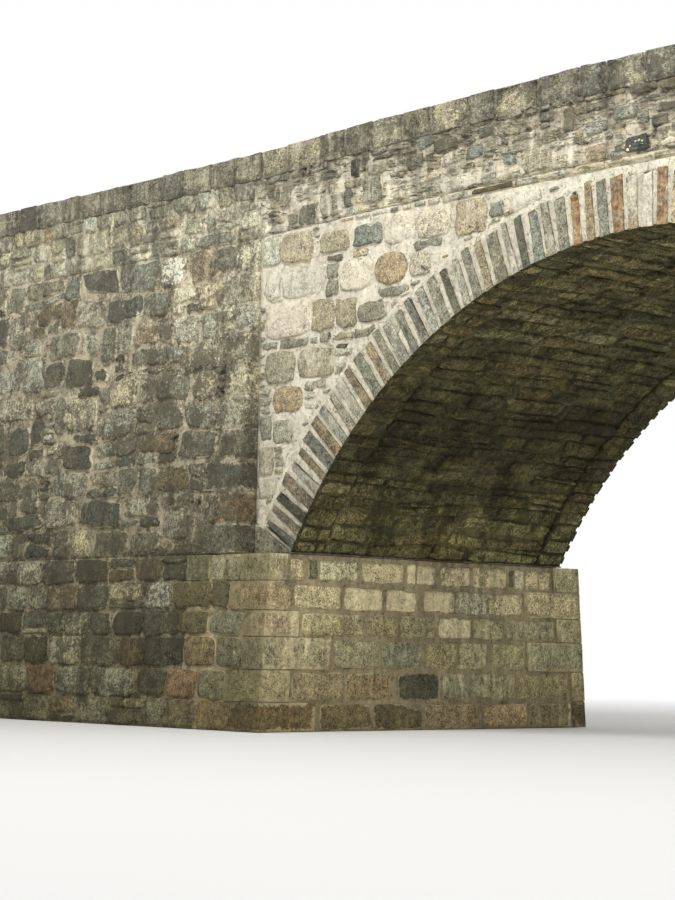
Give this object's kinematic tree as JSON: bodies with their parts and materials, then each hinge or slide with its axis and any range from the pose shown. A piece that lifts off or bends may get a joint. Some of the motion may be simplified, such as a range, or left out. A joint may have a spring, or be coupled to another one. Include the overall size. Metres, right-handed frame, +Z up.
{
  "type": "stone arch bridge",
  "caption": "Stone road bridge with a segmental arch of narrow ring stones, rubble spandrels, battered wing walls, ashlar abutments and coped parapets.",
  "frame": {"origin": "on the ground under the middle of the arch, halfway between the two faces", "axes": "+X along the road to the right of the front face, +Y across the road away from the front face, +Z up"},
  "size_m": [21.8, 5.075, 6.3054],
  "materials": {
    "ashlar": "squared granite blocks, tooled, with lime bloom and wide grey-brown joints",
    "soffit_rubble": "damp dark coursed rubble",
    "ring_stone": "rough slabs of mixed grey, blue-grey, beige and rusty brown stone",
    "lime_mortar": "cream lime mortar, weathered and pitted",
    "spandrel_rubble": "pale lime-streaked rubble with cream mortar",
    "wing_rubble": "darker brown-grey rubble with brown mortar",
    "packed_fill": "packed stone and earth",
    "parapet_rubble": "thin weathered rubble slabs with patchy pale mortar",
    "coping_stone": "rough weathered stones set on edge",
    "road_gravel": "compacted gravel"
  },
  "bodies": {
    "root": {"abutment_left": "ashlar", "abutment_right": "ashlar", "springer_left": "ashlar", "springer_right": "ashlar", "arch_barrel_left": "soffit_rubble", "arch_barrel_crown": "soffit_rubble", "arch_barrel_right": "soffit_rubble", "ring_stones_front": "ring_stone", "ring_stones_back": "ring_stone", "ring_mortar_front": "lime_mortar", "ring_mortar_back": "lime_mortar", "spandrel_front_left": "spandrel_rubble", "spandrel_front_right": "spandrel_rubble", "spandrel_back_left": "spandrel_rubble", "spandrel_back_right": "spandrel_rubble", "wing_wall_front_left": "wing_rubble", "wing_wall_front_right": "wing_rubble", "wing_wall_back_left": "wing_rubble", "wing_wall_back_right": "wing_rubble", "end_wall_left": "wing_rubble", "end_wall_right": "wing_rubble", "fill_left": "packed_fill", "fill_right": "packed_fill", "slab_course_front": "coping_stone", "slab_course_back": "coping_stone", "parapet_front_left": "parapet_rubble", "parapet_front_middle": "parapet_rubble", "parapet_front_right": "parapet_rubble", "parapet_back_left": "parapet_rubble", "parapet_back_middle": "parapet_rubble", "parapet_back_right": "parapet_rubble", "coping_front_left": "coping_stone", "coping_front_middle": "coping_stone", "coping_front_right": "coping_stone", "coping_back_left": "coping_stone", "coping_back_middle": "coping_stone", "coping_back_right": "coping_stone", "roadway": "road_gravel"}
  },
  "joints": []
}
